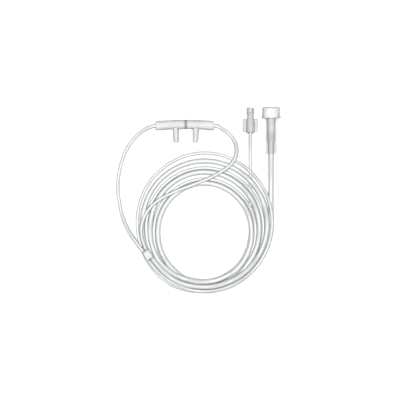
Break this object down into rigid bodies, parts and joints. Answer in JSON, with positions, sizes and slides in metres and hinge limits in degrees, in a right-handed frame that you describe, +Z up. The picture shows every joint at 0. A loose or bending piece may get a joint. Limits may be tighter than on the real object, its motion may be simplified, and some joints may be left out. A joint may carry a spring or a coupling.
{
  "type": "carbon dioxide sampling nasal cannula",
  "caption": "Nasal cannula with hollow prongs, ear tubing, a coiled oxygen tube and gas sampling tube, a luer connector and an oxygen connector.",
  "frame": {"origin": "centre of the flat back of the moulded nasal piece, on the floor that the cannula lies on", "axes": "+X along the nasal piece, +Y away from its prongs, +Z up from the floor"},
  "size_m": [0.164, 0.1855, 0.0184],
  "materials": {
    "moulded_pvc": "soft moulded PVC, milky, half clear",
    "divider": "grey moulded plug",
    "clear_tubing": "clear flexible PVC tubing",
    "rigid_connector": "moulded rigid plastic, half clear",
    "clear_sleeve": "clear soft PVC sleeve"
  },
  "bodies": {
    "root": {"nasal_body": "moulded_pvc", "lumen_divider": "divider", "ear_tube_left": "clear_tubing", "ear_tube_right": "clear_tubing", "junction_sleeve": "moulded_pvc", "tubing_coil": "clear_tubing", "sample_tube_lead": "clear_tubing", "oxygen_tube_lead": "clear_tubing", "luer_connector": "rigid_connector", "oxygen_connector_body": "rigid_connector", "oxygen_connector_sleeve": "clear_sleeve"}
  },
  "joints": []
}
